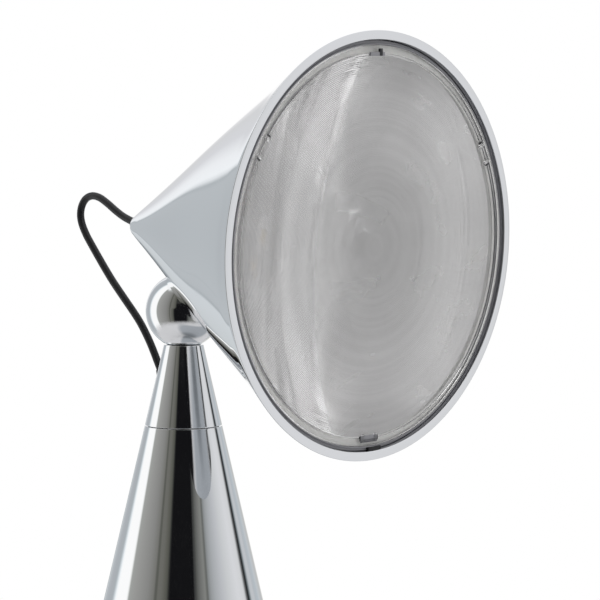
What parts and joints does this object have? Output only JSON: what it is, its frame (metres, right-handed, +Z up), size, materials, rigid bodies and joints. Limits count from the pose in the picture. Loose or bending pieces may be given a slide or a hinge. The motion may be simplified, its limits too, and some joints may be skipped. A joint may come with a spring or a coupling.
{
  "type": "cordless lamp",
  "caption": "Cordless spot lamp: a wide conical head with a ribbed lens tilts on a ball at the top of a slender conical base, fed by a short loose lead.",
  "frame": {"origin": "centre of the foot's underside, on the table", "axes": "+Z up along the base's axis; the head looks along -Y, with +X to the right as seen from the front"},
  "size_m": [0.2, 0.2182, 0.4083],
  "materials": {
    "chrome_shell": "mirror chrome plate on steel",
    "chrome_head": "mirror chrome plate on spun aluminium",
    "steel": "zinc plated",
    "button_steel": "satin",
    "iron": "black, as cast",
    "aluminium": "turned",
    "brass": "turned",
    "black_rubber": "satin",
    "black_plastic": "fine satin",
    "white_plastic": "satin",
    "clear_plastic": "clear, with fine rings on the inner face",
    "circuit_board": "solder mask",
    "cell_wrap": "blue shrink film over the can",
    "phosphor": "yellow phosphor"
  },
  "bodies": {
    "base": {"base_shell": "chrome_shell", "foot_pad": "black_rubber", "base_plate": "steel", "ballast_ring": "iron", "base_screw_1": "steel", "base_screw_2": "steel", "base_screw_3": "steel", "battery_tray": "black_plastic", "battery_cell_1": "cell_wrap", "battery_cell_2": "cell_wrap", "battery_cell_3": "cell_wrap", "battery_clamp": "black_plastic", "clamp_nut": "steel", "power_board": "circuit_board", "base_harness": "black_rubber", "charge_harness": "black_rubber", "charge_bezel": "black_plastic", "charge_socket": "steel", "button_bezel": "black_plastic", "tact_switch": "black_plastic", "indicator_window": "clear_plastic", "control_board": "circuit_board", "control_screw_1": "steel", "control_screw_2": "steel", "control_block": "black_plastic", "top_flange": "aluminium", "swivel_bush": "white_plastic"},
    "power_button": {"power_button": "button_steel"},
    "neck": {"neck_shell": "chrome_shell", "seat_ring": "black_plastic", "seat_magnet": "steel", "magnet_plug": "brass", "neck_plate": "steel", "stop_pin": "steel", "swivel_spindle": "steel", "spring_washer": "steel", "swivel_nut": "brass", "neck_grommet": "black_rubber", "neck_lead": "black_rubber", "lead_loop": "black_rubber"},
    "head": {"head_shell": "chrome_head", "fresnel_lens": "clear_plastic", "lens_carrier": "white_plastic", "lens_gasket": "black_rubber", "ball": "chrome_shell", "ball_stud": "steel", "stud_washer": "steel", "stud_nut": "brass", "ball_saddle": "steel", "led_heatsink": "aluminium", "led_board": "white_plastic", "led_chip": "phosphor", "led_cover": "white_plastic", "board_screw_1": "steel", "board_screw_2": "steel", "head_grommet": "black_rubber", "head_lead": "black_rubber"}
  },
  "joints": [
    {"name": "power_button_press", "type": "slide", "parent": "base", "child": "power_button", "axis": [0, -0.9736, -0.2281], "range_m": [0, 0.0008], "stiffness_N_per_m": 1500, "springref_m": -0.0006},
    {"name": "neck_swivel", "type": "hinge", "parent": "base", "child": "neck", "pos_m": [0, 0, 0.2143], "axis": [0, 0, 1], "range_deg": [-164, 164]},
    {"name": "head_tilt", "type": "hinge", "parent": "neck", "child": "head", "pos_m": [0, 0, 0.27323], "axis": [-1, 0, 0], "range_deg": [-38, 50], "deforming": ["lead_loop"]}
  ]
}
